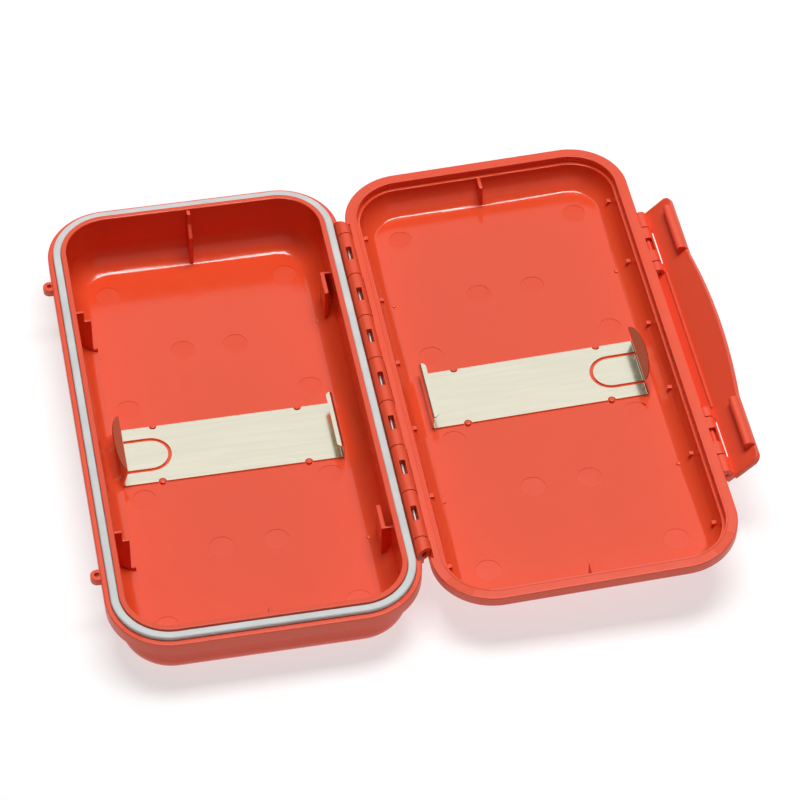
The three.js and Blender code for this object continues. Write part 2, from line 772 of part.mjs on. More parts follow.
const lidFrame = new THREE.Group();
lidFrame.position.set(HINGE.toLidCentre, 0, -HINGE.toLidRim);
lid.add(lidFrame);
lidFrame.add(meshOf("lid_shell", lidShell(), ORANGE, 0.45));

const lidStrip = meshOf("lid_strip", springStrip(), STEEL, 0.35, 1);
lidStrip.rotation.z = Math.PI;
lidStrip.position.set(...STRIP.lidPlace, -LID.depth + STRIP.floorGap);
lidFrame.add(lidStrip);

const pinFrame = new THREE.Group();
pinFrame.position.set(LATCH.x, 0, -LATCH.drop);
lidFrame.add(pinFrame);
pinFrame.add(meshOf("latch_pin_rear", latchPin(1), ORANGE, 0.5));
pinFrame.add(meshOf("latch_pin_front", latchPin(-1), ORANGE, 0.5));

const flap = meshOf("latch_flap", latchFlap(), ORANGE, 0.45);
flap.rotation.y = -THREE.MathUtils.degToRad(LATCH.tilt);
pinFrame.add(flap);

// Puts the origin under the middle of the whole open case.
firstAidCase.updateMatrixWorld(true);
const bounds = new THREE.Box3().setFromObject(firstAidCase, true);
middle.position.x = -(bounds.min.x + bounds.max.x) / 2;

export default firstAidCase;
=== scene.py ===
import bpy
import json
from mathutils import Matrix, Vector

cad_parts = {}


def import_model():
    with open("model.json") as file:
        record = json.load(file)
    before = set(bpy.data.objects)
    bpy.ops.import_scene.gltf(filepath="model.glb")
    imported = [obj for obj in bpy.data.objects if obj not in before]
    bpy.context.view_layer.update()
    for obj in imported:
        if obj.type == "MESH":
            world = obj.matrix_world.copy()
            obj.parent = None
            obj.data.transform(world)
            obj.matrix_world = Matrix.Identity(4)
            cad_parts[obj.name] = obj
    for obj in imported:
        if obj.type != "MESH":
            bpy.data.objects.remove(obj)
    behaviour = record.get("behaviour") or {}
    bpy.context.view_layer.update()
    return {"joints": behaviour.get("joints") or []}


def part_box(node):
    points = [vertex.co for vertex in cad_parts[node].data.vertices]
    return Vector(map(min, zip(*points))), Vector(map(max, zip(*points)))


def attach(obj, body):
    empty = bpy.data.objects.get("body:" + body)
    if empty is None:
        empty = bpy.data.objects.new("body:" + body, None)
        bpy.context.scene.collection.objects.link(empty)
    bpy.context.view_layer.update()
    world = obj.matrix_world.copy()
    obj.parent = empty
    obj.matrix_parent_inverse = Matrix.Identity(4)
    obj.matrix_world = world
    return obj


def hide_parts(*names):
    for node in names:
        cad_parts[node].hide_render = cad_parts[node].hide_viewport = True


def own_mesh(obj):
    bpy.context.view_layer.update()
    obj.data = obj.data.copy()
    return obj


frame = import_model()

import json
import math

import bmesh
import bpy
from mathutils import Matrix, Vector

# The open first aid case around its CAD frame. Shapes are made in millimetres, in the frame of the tray,
# flap or strip that they belong to, and then placed in the row frame in metres.

MM = 0.001
CORNER_STEPS = 24
ARC_STEPS = 10
SHARP_ANGLE = math.radians(32)
END_GAP = 0.15  # left at each end of a knuckle
FIT_GAP = 0.35  # left round a knuckle

# ------------------------------------------------------------------ places, from the frame

joints = {joint["name"]: joint for joint in frame["joints"]}
hinge_at = Vector(joints["lid_hinge"]["pos_m"]) / MM
latch_at = Vector(joints["latch_pivot"]["pos_m"]) / MM
lid_tilt = math.radians(180 - joints["lid_hinge"]["range_deg"][1])
flap_tilt = math.radians(90 - joints["latch_pivot"]["range_deg"][1])
gasket_low, gasket_high = (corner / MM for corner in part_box("gasket"))

base_x = (gasket_low.x + gasket_high.x) / 2
LID_CENTRE = Vector((53.97, 0, -0.68))  # from the hinge axis, in the lid's own frame
base_frame = Matrix.Translation((base_x, 0, 0))
lid_turn = Matrix.Rotation(-lid_tilt, 4, "Y")
lid_frame = Matrix.Translation(hinge_at) @ lid_turn @ Matrix.Translation(LID_CENTRE)
flap_frame = Matrix.Translation(latch_at) @ Matrix.Rotation(-lid_tilt - flap_tilt, 4, "Y")
hinge_in_base = Vector((hinge_at.x - base_x, 0, hinge_at.z))
hinge_in_lid = -LID_CENTRE
latch_in_lid = lid_frame.inverted() @ latch_at

# ------------------------------------------------------------------ sizes in millimetres

WALL = 2.0
WALL_ROOT = 0.8  # how far ribs reach into a wall
FLOOR_ROOT = 0.5  # and into a floor or the flap
WEB_INSET = 0.2  # how far a web stays inside its knuckle's ends
BASE = dict(width=105.6, length=200.0, corner=21.9, rim=hinge_at.z, flange=5.2, wall=4.5, bottom=8.0,
            cove=9.5, floor=13.9, lip=1.9, groove=3.1, inner_from=4.75, inner_to=6.7, inner_rise=2.35)
LID = dict(width=104.7, length=199.7, corner=21.2, depth=12.18, flange=4.0, wall=3.35, bottom=11.4,
           cove=9.5, floor=11.15, rim=4.2, rebate=2.8, inner=5.35, shift=0.1)
HINGE = dict(radius=2.75, bore=0.9, rod=0.8, pitch=20.4, half=78.4, window=(2.0, 6.2),
             slot=(1.95, 1.2, 1.4), slant=3.0, web_depth=4.4, web_root=1.2)
LATCH = dict(radius=2.3, bore=0.95, pin=0.85, lid=(37.5, 54.7), inner=(32.8, 37.5), outer=(54.7, 62.6),
             window=(42.8, 49.1), window_width=2.4, bore_span=(30, 66), half=63.6, top=-1.65, thick=2.0,
             edge=13.0, inside=-1.9, slot=2.15, corner=3.0, grip_half=34.0, grip_rise=2.5)
GASKET_WIDTH = 2.75
GASKET_EDGE = 0.6
HOOK = dict(y=(36.0, 57.5), middle=11.5, half=1.9, height=2.8)
FLAP_WEB = dict(x=(0.2, 2), root=1, top=-0.8)
FLAP_CUT = (-6, 3)
FLAP_END_STEP = 0.6
FLAP_END_PAST = 6.4
RIDGE = [(1.9, -0.3), (1.9, 0.3), (2.2, 0.45), (2.7, 0.3), (2.9, -0.3)]  # heights above the flap's face
STRIP = dict(half=38.0, tongue=39.2, width=25.3, base=(0.45, -1.4), lid=(-0.4, -1.0), thick=0.5, gap=0.1,
             notch=25.7, notch_radius=1.4, slot=1.3, slot_half=6.9, straight=28.4, round=21.4, slot_rise=3.5,
             upright=7.4, lean=1.9, tab_reach=3.1, tab_rise=2.4, lip=1.8, lip_upright=5.6, chamfer=1.0,
             tab_shoulder=0.15)
UPRIGHT_LENGTH = math.hypot(STRIP["upright"], STRIP["lean"])

# Roundings of the shells' edges, the fillet where a wall meets its flange, and the lid's fine bead.
FLANGE_EDGE = 0.35
RIM_EDGE = 0.45
FINE_EDGE = 0.2
LIP_EDGE = 0.3
FILLET = 0.35
FILLET_MIDDLE = 0.1
LID_FILLET = dict(start=0.3, rise=0.25, out=0.06, top=0.2)
BEAD = dict(start=0.9, shoulder=0.75, shoulder_rise=0.12, rise=0.16)
REBATE_CORNER = 0.15

# Ribs in the middle of the end walls: reaches in from the wall, and depths.
RIB_HALF = 0.65
BASE_RIB = dict(drop=0.6, upper=2.4, lower=6.1, upper_depth=4.6, lower_depth=8.6, root=3.1)
LID_RIB = dict(reach=5.4, depth=2.9, root=2.9, root_rise=7)
HINGE_BRACKET = dict(x=(42.9, 44.4), y=(49.8, 60.3), drop=4.5, leg=1.0, foot=(3, 2.8), root_z=8)
# Each step of the latch-side ribs is a distance from the middle and a height from the rim.
LATCH_BRACKET = dict(y=(50.8, -50.4), thick=1, top=(43.5, 1.27), step=(41.1, -3.5), foot=(39.5, -18.3),
                     root_z=8)
LUG = dict(x=-53.85, y=66.25, radius=2.25, hole=0.9, drop=0.4, height=3.1)
STRIP_PEG = dict(radius=1.05, height=0.85)
PIP_RADIUS = 0.8
BASE_PIPS = dict(height=0.7, places=[(40.4, 50.8), (40.4, -50.8)])
LID_PIPS = dict(height=0.5, places=[(-41.2, 46.3), (41.2, 46.3), (-41.2, -46.3), (41.2, -46.3), (36, -17.5)])
WALL_PEG = dict(ys=(-77.4, -46.3, -15.5, 15.5, 46.3, 77.4), x=(44.6, 46.6), z=-8.0, half_y=0.8, half_z=0.7)

# ------------------------------------------------------------------ mesh helpers


def new_mesh(name, matrix, build):
    """A mesh object made by build(bm) in millimetres and placed by matrix, in metres."""
    bm = bmesh.new()
    build(bm)
    bmesh.ops.remove_doubles(bm, verts=bm.verts, dist=1e-4)
    bmesh.ops.recalc_face_normals(bm, faces=bm.faces)
    data = bpy.data.meshes.new(name)
    bm.to_mesh(data)
    bm.free()
    piece = bpy.data.objects.new(name, data)
    bpy.context.scene.collection.objects.link(piece)
    data.transform(Matrix.Scale(MM, 4) @ matrix)
    return piece


def ring(tray, inset, z, shift=0.0):
    """The rim outline of a tray, moved in by inset, at height z."""
    radius = max(tray["corner"] - inset, 0.2)
    half_x = tray["width"] / 2 - inset - radius
    half_y = tray["length"] / 2 - inset - radius
    points = []
    for quarter, (sx, sy) in enumerate(((1, 1), (-1, 1), (-1, -1), (1, -1))):
        for step in range(CORNER_STEPS + 1):
            angle = (quarter + step / CORNER_STEPS) * math.pi / 2
            x = sx * half_x + radius * math.cos(angle) + shift
            points.append((x, sy * half_y + radius * math.sin(angle), z))
    return points


def skin(bm, rings, closed=False):
    """Joins rings of equal count by quads, and caps the ends unless closed."""
    levels = [[bm.verts.new(point) for point in points] for points in rings]
    pairs = list(zip(levels, levels[1:]))
    if closed:
        pairs.append((levels[-1], levels[0]))
    for low, high in pairs:
        for i in range(len(low)):
            j = (i + 1) % len(low)
            bm.faces.new((low[i], low[j], high[j], high[i]))
    if not closed:
        bm.faces.new(levels[0][::-1])
        bm.faces.new(levels[-1])


def arc(centre, radius, start, end, steps):
    """Points round part of a circle, from start to end in degrees."""
    angles = [math.radians(start + (end - start) * i / steps) for i in range(steps + 1)]
    return [(centre[0] + radius * math.cos(a), centre[1] + radius * math.sin(a)) for a in angles]


def bar(name, matrix, radius, y_range, x=0.0, z=0.0, steps=48, edge=0.25):
    """A round bar along Y with rounded ends."""
    low, high = y_range
    edge = min(edge, radius * 0.6)
    ends = [(radius - edge + edge * math.sin(math.radians(a)), edge - edge * math.cos(math.radians(a)))
            for a in (0, 30, 60, 90)] if edge > 0 else [(radius, 0.0)]
    levels = [(r, low + d) for r, d in ends] + [(r, high - d) for r, d in reversed(ends)]

    def build(bm):
        skin(bm, [[(x + r * math.cos(2 * math.pi * i / steps), y, z + r * math.sin(2 * math.pi * i / steps))
                   for i in range(steps)] for r, y in levels])
    return new_mesh(name, matrix, build)


def peg(name, matrix, radius, x, y, z_range, steps=40, edge=0.25):
    """An upright round peg with a rounded top."""
    low, high = z_range
    top = [(radius - edge + edge * math.cos(math.radians(a)), high - edge + edge * math.sin(math.radians(a)))
           for a in (0, 30, 60, 90)] if edge > 0 else [(radius, high)]

    def build(bm):
        skin(bm, [[(x + r * math.cos(2 * math.pi * i / steps), y + r * math.sin(2 * math.pi * i / steps), z)
                   for i in range(steps)] for r, z in [(radius, low)] + top])
    return new_mesh(name, matrix, build)


def prism(name, matrix, outline, span, plane="XY", bevel=0.0, segments=3):
    """An outline in one plane drawn out along the third axis, its edges rounded by bevel."""
    place = {"XY": lambda u, v, w: (u, v, w), "XZ": lambda u, v, w: (u, w, v),
             "YZ": lambda u, v, w: (w, u, v)}

    def build(bm):
        low = [bm.verts.new(place[plane](u, v, span[0])) for u, v in outline]
        high = [bm.verts.new(place[plane](u, v, span[1])) for u, v in outline]
        for i in range(len(low)):
            j = (i + 1) % len(low)
            bm.faces.new((low[i], low[j], high[j], high[i]))
        bm.faces.new(low[::-1])
        bm.faces.new(high)
        if bevel > 0:
            bmesh.ops.recalc_face_normals(bm, faces=bm.faces)
            edges = [e for e in bm.edges if e.calc_face_angle(0) > math.radians(20)]
            bmesh.ops.bevel(bm, geom=edges, offset=bevel, segments=segments, profile=0.5,
                            affect="EDGES", clamp_overlap=True)
    return new_mesh(name, matrix, build)


def block(name, matrix, xs, ys, zs, bevel=0.0):
    corners = [(xs[0], ys[0]), (xs[1], ys[0]), (xs[1], ys[1]), (xs[0], ys[1])]
    return prism(name, matrix, corners, zs, bevel=bevel)


def apply_modifiers(piece):
    depsgraph = bpy.context.evaluated_depsgraph_get()
    depsgraph.update()
    piece.data = bpy.data.meshes.new_from_object(piece.evaluated_get(depsgraph))
    piece.modifiers.clear()


def boolean(piece, tools, operation):
    """Joins or cuts a piece by each tool in turn, and removes the tools."""
    for tool in tools:
        change = piece.modifiers.new("join", "BOOLEAN")
        change.operation = operation
        change.solver = "MANIFOLD"
        change.object = tool
    apply_modifiers(piece)
    for tool in tools:
        bpy.data.objects.remove(tool)


def smooth(piece):
    """Smooth shading with crisp edges, and normals that follow the large faces."""
    data = piece.data
    data.polygons.foreach_set("use_smooth", [True] * len(data.polygons))
    data.set_sharp_from_angle(angle=SHARP_ANGLE)
    weigh = piece.modifiers.new("normals", "WEIGHTED_NORMAL")
    weigh.keep_sharp = True
    weigh.weight = 60
    apply_modifiers(piece)
    return piece


def mirrored(span, side):
    return span if side > 0 else (-span[1], -span[0])


def widen(span, gap):
    return span[0] - gap, span[1] + gap


# ------------------------------------------------------------------ tray profiles


def bottom_curve(tray, bottom):
    return [(tray["wall"] + tray["bottom"] * (1 - math.sin(a)), bottom + tray["bottom"] * (1 - math.cos(a)))
            for a in (math.pi / 2 * i / ARC_STEPS for i in range(ARC_STEPS + 1))]


def cove_curve(tray, wall, floor):
    """Inner wall down to the crease at the floor, which the cove meets at an angle."""
    end = math.asin((wall + tray["cove"] - tray["floor"]) / tray["cove"])
    middle = floor + tray["cove"] * math.cos(end)
    angles = [math.pi / 2 + (end - math.pi / 2) * i / ARC_STEPS for i in range(ARC_STEPS + 1)]
    return [(wall + tray["cove"] * (1 - math.sin(a)), middle - tray["cove"] * math.cos(a)) for a in angles]


def edge_out(inset, z, radius, corner, steps=4):
    """A rounded edge of a profile; corner says which way its centre lies and where it starts."""
    start = {"outer_top": 180, "inner_top": 90, "outer_bottom": 270}[corner]
    centre = {"outer_top": (inset + radius, z - radius), "inner_top": (inset - radius, z - radius),
              "outer_bottom": (inset + radius, z + radius)}[corner]
    return arc(centre, radius, start, start - 90, steps)


def base_profile():
    rim, inner_rim = BASE["rim"], BASE["rim"] + BASE["inner_rise"]
    under = rim - BASE["flange"]
    groove = rim - BASE["groove"]
    wall = BASE["wall"]
    fillet = [(wall, under - FILLET), (wall - FILLET_MIDDLE, under - FILLET_MIDDLE), (wall - FILLET, under)]
    return (bottom_curve(BASE, 0) + fillet
            + edge_out(0, under, FLANGE_EDGE, "outer_bottom") + edge_out(0, rim, RIM_EDGE, "outer_top")
            + edge_out(BASE["lip"], rim, FINE_EDGE, "inner_top")
            + [(BASE["lip"], groove), (BASE["inner_from"], groove)]
            + edge_out(BASE["inner_from"], inner_rim, LIP_EDGE, "outer_top")
            + edge_out(BASE["inner_to"], inner_rim, FLANGE_EDGE, "inner_top")
            + cove_curve(BASE, BASE["inner_to"], WALL))


def lid_profile():
    """The outer half of the profile, and the inner half, which is shifted a little towards the latch."""
    under = -LID["flange"]
    rim, wall, rebate = LID["rim"], LID["wall"], -LID["rebate"]
    curve = [(o, z) for o, z in bottom_curve(LID, -LID["depth"] - WALL) if z < under - LID_FILLET["start"]]
    fillet = [(wall + LID_FILLET["out"], under - LID_FILLET["rise"]), (wall - LID_FILLET["top"], under)]
    outer = (curve + fillet
             + edge_out(0, under, FLANGE_EDGE, "outer_bottom") + edge_out(0, 0, RIM_EDGE, "outer_top"))
    bead = [(rim - BEAD["start"], 0), (rim - BEAD["shoulder"], BEAD["shoulder_rise"])]
    inner = (bead + edge_out(rim, BEAD["rise"], FINE_EDGE, "inner_top")
             + [(rim, rebate + REBATE_CORNER), (rim + REBATE_CORNER, rebate)]
             + edge_out(LID["inner"], rebate, FINE_EDGE, "inner_top")
             + cove_curve(LID, LID["inner"], -LID["depth"])[1:])
    return [(o, z, 0.0) for o, z in outer] + [(o, z, LID["shift"]) for o, z in inner]


def tray(name, matrix, size, profile):
    rings = [ring(size, *level) for level in profile]
    return new_mesh(name, matrix, lambda bm: skin(bm, rings))


# ------------------------------------------------------------------ hinge

edges_y = [(i + 0.5) * HINGE["pitch"] for i in range(4)]
BASE_KNUCKLES = [(-HINGE["half"], -edges_y[3]), (-edges_y[2], -edges_y[1]), (-edges_y[0], edges_y[0]),
                 (edges_y[1], edges_y[2]), (edges_y[3], HINGE["half"])]
LID_KNUCKLES = [(-edges_y[3], -edges_y[2]), (-edges_y[1], -edges_y[0]),
                (edges_y[0], edges_y[1]), (edges_y[2], edges_y[3])]


def knuckles(matrix, at, spans, web_x, web_z):
    made = []
    for low, high in spans:
        span = (low if low == -HINGE["half"] else low + END_GAP,
                high if high == HINGE["half"] else high - END_GAP)
        made.append(bar("knuckle", matrix, HINGE["radius"], span, at.x, at.z, edge=0.12))
        made.append(block("web", matrix, sorted((at.x, web_x)), widen(span, -WEB_INSET), web_z,
                          bevel=0.15))
    return made


def sweeps(matrix, at, spans, radius):
    return [bar("sweep", matrix, radius + FIT_GAP, widen(span, END_GAP), at.x, at.z, edge=0)
            for span in spans]


def hinge_cuts(matrix, at, spans):
    half_x, half_y = HINGE["window"][0] / 2, HINGE["window"][1] / 2
    cuts = [bar("bore", matrix, HINGE["bore"], (-HINGE["half"] - 1, HINGE["half"] + 1), at.x, at.z, edge=0)]
    for low, high in spans:
        if high - low > HINGE["pitch"] / 2:
            middle = (low + high) / 2
            cuts.append(block("window", matrix, (at.x - half_x, at.x + half_x),
                              (middle - half_y, middle + half_y), (at.z, at.z + 2 * HINGE["radius"])))
    return cuts


# ------------------------------------------------------------------ moulded details

BASE_MARKS = [(x, y) for y in (76.5, 20.8, -20.8, -76.5) for x in (-32.6, 32.6)]
BASE_MARKS += [(x, y) for y in (45.8, -45.8) for x in (-9.5, 9.5)]
LID_MARKS = [(x, y) for y in (78.1, 20.1, -20.1, -78.1) for x in (-32.5, 32.5)]
LID_MARKS += [(x, y) for y in (45.9, -45.9) for x in (-9.9, 9.9)]
MARK_RADIUS = 4.25
MARK_DEPTH = 0.14


def ejector_marks(matrix, places, floor):
    return [peg("mark", matrix, MARK_RADIUS, x, y, (floor - MARK_DEPTH, floor + 1), edge=0)
            for x, y in places]


def strip_pegs(matrix, place, floor):
    half = STRIP["width"] / 2
    heights = (floor - FLOOR_ROOT, floor + STRIP_PEG["height"])
    return [peg("strip_peg", matrix, STRIP_PEG["radius"], place[0] + x, place[1] + y, heights)
            for x in (-STRIP["notch"], STRIP["notch"]) for y in (-half, half)]


def floor_pips(matrix, pips, floor):
    heights = (floor - FLOOR_ROOT, floor + pips["height"])
    return [peg("pip", matrix, PIP_RADIUS, x, y, heights) for x, y in pips["places"]]


def lid_wall_pegs():
    """Small pegs along both long walls of the lid."""
    near, far = WALL_PEG["x"]
    half_y, half_z, z = WALL_PEG["half_y"], WALL_PEG["half_z"], WALL_PEG["z"]
    return [block("wall_peg", lid_frame, sorted((side * near, side * far)), (y - half_y, y + half_y),
                  (z - half_z, z + half_z), bevel=0.2)
            for side in (1, -1) for y in WALL_PEG["ys"]]


def centre_rib(matrix, side, outline):
    points = [(side * y, z) for y, z in outline]
    return prism("rib", matrix, points, (-RIB_HALF, RIB_HALF), "YZ", bevel=0.2)


def base_centre_outline():
    wall = BASE["length"] / 2 - BASE["inner_to"]
    top = BASE["rim"] + BASE["inner_rise"] - BASE_RIB["drop"]
    upper, lower = wall - BASE_RIB["upper"], wall - BASE_RIB["lower"]
    foot = WALL - FLOOR_ROOT
    return [(wall + WALL_ROOT, top), (upper, top), (upper, top - BASE_RIB["upper_depth"]),
            (lower, top - BASE_RIB["lower_depth"]), (lower, foot), (wall - BASE_RIB["root"], foot),
            (wall + WALL_ROOT, WALL + BASE["cove"])]


def lid_centre_outline():
    wall = LID["length"] / 2 - LID["inner"]
    reach = wall - LID_RIB["reach"]
    foot = -LID["depth"] - FLOOR_ROOT
    return [(wall + WALL_ROOT, -LID_RIB["depth"]), (reach, -LID_RIB["depth"]), (reach, foot),
            (wall - LID_RIB["root"], foot), (wall + WALL_ROOT, -LID["depth"] + LID_RIB["root_rise"])]


def hinge_bracket(side):
    """A plate that stands off the hinge-side wall, with one leg back to it."""
    top = BASE["rim"] - HINGE_BRACKET["drop"]
    wall = BASE["width"] / 2 - BASE["inner_to"] + WALL_ROOT
    near, far = HINGE_BRACKET["x"]
    foot, far_foot = HINGE_BRACKET["foot"]
    low, high = HINGE_BRACKET["y"]
    plate = [(near, top), (near, foot), (far, far_foot), (far, top)]
    leg = [(near, top), (near, foot), (far, far_foot), (wall, HINGE_BRACKET["root_z"]), (wall, top)]
    leg_span = (high - HINGE_BRACKET["leg"], high)
    return [prism("bracket", base_frame, plate, mirrored((low, high), side), "XZ", bevel=0.2),
            prism("bracket_leg", base_frame, leg, mirrored(leg_span, side), "XZ", bevel=0.2)]


def latch_bracket(y):
    """A stepped rib on the latch-side wall."""
    rim = BASE["rim"]
    wall = -BASE["width"] / 2 + BASE["inner_to"] - WALL_ROOT
    top, step, foot = LATCH_BRACKET["top"], LATCH_BRACKET["step"], LATCH_BRACKET["foot"]
    outline = [(wall, LATCH_BRACKET["root_z"]), (-foot[0], WALL - FLOOR_ROOT), (-foot[0], rim + foot[1]),
               (-step[0], rim + foot[1]), (-step[0], rim + step[1]), (-top[0], rim + step[1]),
               (-top[0], rim + top[1]), (wall, rim + top[1])]
    return prism("latch_bracket", base_frame, outline, (y - LATCH_BRACKET["thick"], y), "XZ", bevel=0.15)


def lug(side):
    """A round-ended lanyard lug on the latch side."""
    top = BASE["rim"] - LUG["drop"]
    middle = side * LUG["y"]
    root = -BASE["width"] / 2 + 1
    tip = arc((LUG["x"], middle), LUG["radius"], 90, 270, 18)
    outline = tip + [(root, middle - LUG["radius"]), (root, middle + LUG["radius"])]
    return prism("lug", base_frame, outline, (top - LUG["height"], top), bevel=0.3)


# ------------------------------------------------------------------ the two shells


def hinge_slot():
    """The slot between the gasket and the hinge barrel."""
    start, end, depth = HINGE["slot"]
    return block("slot", base_frame, (BASE["width"] / 2 - start, BASE["width"] / 2 - end),
                 (-HINGE["half"], HINGE["half"]), (BASE["rim"] - depth, BASE["rim"] + 1))


def barrel_end_cut(side):
    """What is taken off one end of the barrel to slant it."""
    x0 = hinge_in_base.x - HINGE["radius"]
    x1 = hinge_in_base.x + HINGE["radius"] + 1
    end = HINGE["half"]
    outline = [(x0, end), (x1, end - HINGE["slant"]), (x1, end + 1), (x0, end + 1)]
    outline = [(x, side * y) for x, y in outline]
    return prism("end_cut", base_frame, outline, (BASE["rim"] - 5, BASE["rim"] + 4))


def base_shell():
    shell = tray("base_shell_moulding", base_frame, BASE, base_profile())
    sweep = sweeps(base_frame, hinge_in_base, LID_KNUCKLES, HINGE["radius"])
    boolean(shell, sweep + [hinge_slot()], "DIFFERENCE")
    rim = BASE["rim"]
    web_z = (rim - HINGE["web_depth"], rim - WEB_INSET)
    parts = knuckles(base_frame, hinge_in_base, BASE_KNUCKLES, BASE["width"] / 2 - HINGE["web_root"], web_z)
    parts += [centre_rib(base_frame, side, base_centre_outline()) for side in (1, -1)]
    parts += hinge_bracket(1) + hinge_bracket(-1)
    parts += [latch_bracket(y) for y in LATCH_BRACKET["y"]] + [lug(1), lug(-1)]
    parts += strip_pegs(base_frame, STRIP["base"], WALL)
    parts += floor_pips(base_frame, BASE_PIPS, WALL)
    boolean(shell, parts, "UNION")
    cuts = hinge_cuts(base_frame, hinge_in_base, BASE_KNUCKLES) + [barrel_end_cut(1), barrel_end_cut(-1)]
    cuts += [peg("hole", base_frame, LUG["hole"], LUG["x"], side * LUG["y"], (rim - 6, rim + 1), edge=0)
             for side in (1, -1)]
    cuts += ejector_marks(base_frame, BASE_MARKS, WALL)
    boolean(shell, cuts, "DIFFERENCE")
    return smooth(shell)


def latch_station(side):
    """The lid's part of the latch barrel on one side, and the web that carries it."""
    at = latch_in_lid
    span = widen(mirrored(LATCH["lid"], side), -END_GAP)
    web_x = (LID["width"] / 2 - HINGE["web_root"], at.x)
    return [bar("station", lid_frame, LATCH["radius"], span, at.x, at.z),
            block("station_web", lid_frame, web_x, widen(span, -WEB_INSET), (-LID["flange"] + 0.1, -0.05),
                  bevel=0.1)]


def latch_cuts(side):
    """The pin's bore through one station, and the window over it."""
    at = latch_in_lid
    half = LATCH["window_width"] / 2
    bore_span = mirrored(LATCH["bore_span"], side)
    return [bar("pin_bore", lid_frame, LATCH["bore"], bore_span, at.x, at.z, edge=0),
            block("pin_window", lid_frame, (at.x - half, at.x + half), mirrored(LATCH["window"], side),
                  (at.z, LATCH["radius"]))]


def lid_shell():
    shell = tray("lid_shell_moulding", lid_frame, LID, lid_profile())
    flap_spans = [mirrored(span, side) for side in (1, -1) for span in (LATCH["inner"], LATCH["outer"])]
    cuts = sweeps(lid_frame, hinge_in_lid, BASE_KNUCKLES, HINGE["radius"])
    cuts += sweeps(lid_frame, latch_in_lid, flap_spans, LATCH["radius"])
    boolean(shell, cuts, "DIFFERENCE")
    web_z = (hinge_in_lid.z - HINGE["web_depth"], -0.1)
    parts = knuckles(lid_frame, hinge_in_lid, LID_KNUCKLES, -LID["width"] / 2 + HINGE["web_root"], web_z)
    for side in (1, -1):
        parts += latch_station(side)
        parts.append(centre_rib(lid_frame, side, lid_centre_outline()))
    parts += strip_pegs(lid_frame, STRIP["lid"], -LID["depth"])
    parts += floor_pips(lid_frame, LID_PIPS, -LID["depth"])
    parts += lid_wall_pegs()
    boolean(shell, parts, "UNION")
    cuts = hinge_cuts(lid_frame, hinge_in_lid, LID_KNUCKLES)
    cuts += latch_cuts(1) + latch_cuts(-1)
    cuts += ejector_marks(lid_frame, LID_MARKS, -LID["depth"])
    boolean(shell, cuts, "DIFFERENCE")
    return smooth(shell)


# ------------------------------------------------------------------ latch flap


def flap_outline():
    half, edge, corner = LATCH["half"], LATCH["edge"], LATCH["corner"]
    grip, rise = LATCH["grip_half"], LATCH["grip_rise"]
    radius = (grip ** 2 + rise ** 2) / (2 * rise)
    spread = math.degrees(math.asin(grip / radius))
    lower = [(LATCH["inside"], -half)] + arc((edge - corner, -half + corner), corner, -90, 0, 10)
    bulge = arc((edge + rise - radius, 0), radius, -spread, spread, 40)
    upper = arc((edge - corner, half - corner), corner, 0, 90, 10) + [(LATCH["inside"], half)]
    return lower + bulge + upper


def flap_hook(side):
    """A half-round hook along the flap."""
    top, middle, half = LATCH["top"], HOOK["middle"], HOOK["half"]
    half_round = [(middle - half * math.cos(a), top + HOOK["height"] * math.sin(a))
                  for a in (math.pi * i / 16 for i in range(17))]
    outline = [(middle - half, top - FLOOR_ROOT)] + half_round + [(middle + half, top - FLOOR_ROOT)]
    return prism("hook", flap_frame, outline, mirrored(HOOK["y"], side), "XZ", bevel=0.12)


def flap_knuckle(span):
    top = LATCH["top"]
    return [bar("flap_knuckle", flap_frame, LATCH["radius"], span),
            block("flap_web", flap_frame, FLAP_WEB["x"], widen(span, -WEB_INSET),
                  (top - FLAP_WEB["root"], FLAP_WEB["top"]))]


def flap_relief(side):
    """Room in the flap for the lid's station on one side, and the step at its outer end."""
    inner, slot = LATCH["inside"] - 1, LATCH["slot"]
    station = widen(mirrored(LATCH["lid"], side), END_GAP)
    end = mirrored((LATCH["outer"][1], LATCH["half"] + FLAP_END_PAST), side)
    return [block("relief", flap_frame, (inner, slot), station, FLAP_CUT),
            block("end", flap_frame, (inner, slot - FLAP_END_STEP), end, FLAP_CUT)]


def latch_flap():
    top = LATCH["top"]
    plate = prism("latch_flap_moulding", flap_frame, flap_outline(), (top - LATCH["thick"], top), bevel=0.35)
    boolean(plate, flap_relief(1) + flap_relief(-1), "DIFFERENCE")
    parts = []
    for side in (1, -1):
        for span in (LATCH["inner"], LATCH["outer"]):
            parts += flap_knuckle(widen(mirrored(span, side), -END_GAP))
        parts.append(flap_hook(side))
    ridge = [(x, top + z) for x, z in RIDGE]
    ridge_end = LATCH["inner"][0] - WEB_INSET
    parts.append(prism("ridge", flap_frame, ridge, (-ridge_end, ridge_end), "XZ"))
    boolean(plate, parts, "UNION")
    bores = [bar("bore", flap_frame, LATCH["bore"], mirrored(LATCH["bore_span"], side), edge=0)
             for side in (1, -1)]
    boolean(plate, bores, "DIFFERENCE")
    return smooth(plate)


# ------------------------------------------------------------------ gasket, rod and pins


def gasket():
    """A flat-topped band that fills the groove between the two lips."""
    outer = (BASE["width"] - (gasket_high.x - gasket_low.x)) / 2
    inner = outer + GASKET_WIDTH
    low, high = gasket_low.z, gasket_high.z
    profile = [(inner, low), (outer, low)]
    profile += edge_out(outer, high, GASKET_EDGE, "outer_top", 6)
    profile += edge_out(inner, high, GASKET_EDGE, "inner_top", 6)
    rings = [ring(BASE, o, z) for o, z in profile]
    return smooth(new_mesh("gasket_ring", base_frame, lambda bm: skin(bm, rings, closed=True)))


